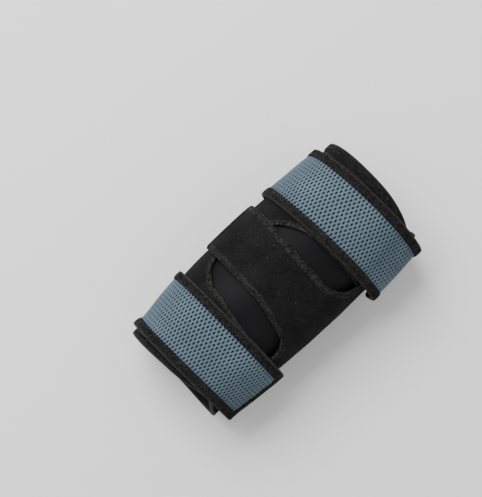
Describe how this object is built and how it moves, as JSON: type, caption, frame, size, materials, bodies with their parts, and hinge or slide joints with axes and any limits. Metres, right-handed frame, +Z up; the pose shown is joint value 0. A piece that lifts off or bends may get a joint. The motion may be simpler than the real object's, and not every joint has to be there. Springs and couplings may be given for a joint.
{
  "type": "elbow brace",
  "caption": "Wrap-round elbow brace: a neoprene sleeve with a windowed loop-fabric panel, a tongue across the window and padded mesh straps, closed as worn and lying on its back.",
  "frame": {"origin": "centre of the bounding box at the level of the surface that the brace lies on", "axes": "+X along the arm from the forearm end to the upper-arm end, +Y across the brace towards the tongue's free end, +Z up, out of the face with the tongue"},
  "size_m": [0.2266, 0.126, 0.097],
  "materials": {
    "neoprene": "smooth knit on foam, matte black",
    "loop_fabric": "brushed loop pile, matte black",
    "edge_tape": "woven tape, matte black",
    "spacer_mesh": "open knit mesh, light blue-grey",
    "hook_tape": "hook tape, matte black"
  },
  "bodies": {
    "root": {"inner_sleeve": "neoprene", "forearm_rim_binding": "edge_tape", "upper_arm_rim_binding": "edge_tape", "outer_panel": "loop_fabric", "tongue_wrap": "loop_fabric", "forearm_strap_pad": "spacer_mesh", "forearm_strap_binding": "edge_tape", "forearm_strap_hook_tab": "hook_tape", "upper_arm_strap_pad": "spacer_mesh", "upper_arm_strap_binding": "edge_tape", "upper_arm_strap_hook_tab": "hook_tape"}
  },
  "joints": []
}
